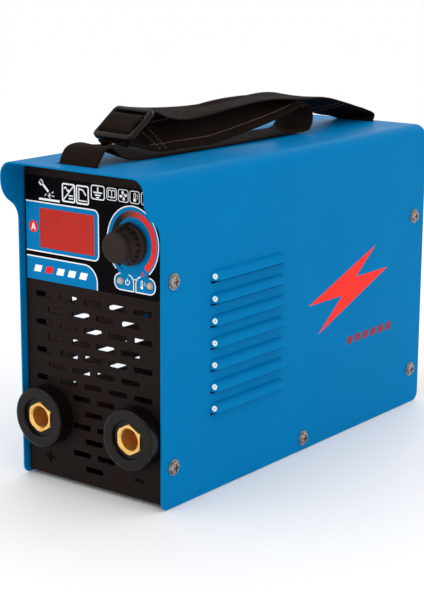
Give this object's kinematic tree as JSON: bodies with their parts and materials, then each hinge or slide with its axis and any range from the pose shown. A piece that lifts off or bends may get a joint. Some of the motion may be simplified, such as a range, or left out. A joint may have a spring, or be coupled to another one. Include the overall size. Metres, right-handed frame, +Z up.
{
  "type": "stick welding inverter",
  "caption": "Portable stick welding inverter: folded sheet cover with louvres, slotted front panel with current knob, display and twist-lock sockets, rear fan, and a webbing carrying strap.",
  "frame": {"origin": "centre of the footprint, on the surface that the feet stand on", "axes": "+Z up, +Y from the front panel to the back, +X to the right seen from the front"},
  "size_m": [0.1208, 0.328, 0.2295],
  "materials": {
    "blue_powder_coat": "fine powder coat, satin",
    "black_powder_coat": "fine powder coat, matt",
    "rubber": "matt",
    "overlay_film": "satin printed film",
    "red_print": "satin print",
    "red_window": "deep red filter",
    "black_plastic": "moulded, fine grain",
    "gloss_black_plastic": "moulded, polished",
    "knob_plastic": "fine grain",
    "circuit_board": "solder mask",
    "zinc_steel": "zinc plated",
    "screw_steel": "bright nickel",
    "aluminium_part": "extruded",
    "led_lens": "diffused lens",
    "brass_part": "turned",
    "copper_part": "lacquered copper",
    "ferrite": "sintered",
    "insulating_sheet": "thin extruded sheet",
    "capacitor_sleeve": "shrink sleeve",
    "strap_webbing": "woven polyester"
  },
  "bodies": {
    "case": {"base_tray": "black_powder_coat", "board_standoffs": "zinc_steel", "bulk_capacitors": "capacitor_sleeve", "cable_gland_body": "black_plastic", "cable_gland_cap": "black_plastic", "cable_gland_locknut": "black_plastic", "cable_gland_seal": "rubber", "carry_strap": "strap_webbing", "control_board": "circuit_board", "cover_clip_nuts": "zinc_steel", "cover_screws": "screw_steel", "display_module": "black_plastic", "display_window": "red_window", "fan_frame": "black_plastic", "fan_guard": "screw_steel", "fan_screw_nuts": "zinc_steel", "fan_screws": "screw_steel", "fault_led": "led_lens", "front_overlay": "overlay_film", "front_panel": "black_powder_coat", "heatsink_primary": "aluminium_part", "heatsink_secondary": "aluminium_part", "igbt_modules": "black_plastic", "insulation_liner_left": "insulating_sheet", "insulation_liner_right": "insulating_sheet", "main_board": "circuit_board", "negative_bus_bar": "copper_part", "negative_socket_housing": "black_plastic", "negative_socket_insert": "brass_part", "output_choke": "copper_part", "output_diodes": "black_plastic", "panel_standoffs": "zinc_steel", "positive_bus_bar": "copper_part", "positive_socket_housing": "black_plastic", "positive_socket_insert": "brass_part", "potentiometer_body": "zinc_steel", "potentiometer_nut": "zinc_steel", "power_led": "led_lens", "power_switch_body": "gloss_black_plastic", "rear_panel": "black_powder_coat", "rectifier_bridge": "black_plastic", "rubber_feet": "rubber", "side_decal_left": "red_print", "side_decal_right": "red_print", "socket_lock_rings": "black_plastic", "socket_stud_nuts": "zinc_steel", "strap_anchor_bars": "zinc_steel", "strap_buckle": "gloss_black_plastic", "top_cover": "blue_powder_coat", "transformer_core": "ferrite", "transformer_winding": "copper_part"},
    "knob": {"current_knob": "knob_plastic", "knob_shaft": "aluminium_part"},
    "fan": {"fan_rotor": "black_plastic"},
    "switch_rocker": {"power_switch_rocker": "gloss_black_plastic"}
  },
  "joints": [
    {"name": "current_knob_turn", "type": "hinge", "parent": "case", "child": "knob", "pos_m": [0.0316, -0.1494, 0.1579], "axis": [0, -1, 0], "range_deg": [-145, 145]},
    {"name": "fan_spin", "type": "hinge", "parent": "case", "child": "fan", "pos_m": [0, 0.1276, 0.062], "axis": [0, 1, 0], "continuous": true},
    {"name": "power_switch_rock", "type": "hinge", "parent": "case", "child": "switch_rocker", "pos_m": [-0.024, 0.1381, 0.15], "axis": [1, 0, 0], "range_deg": [0, 18]}
  ]
}
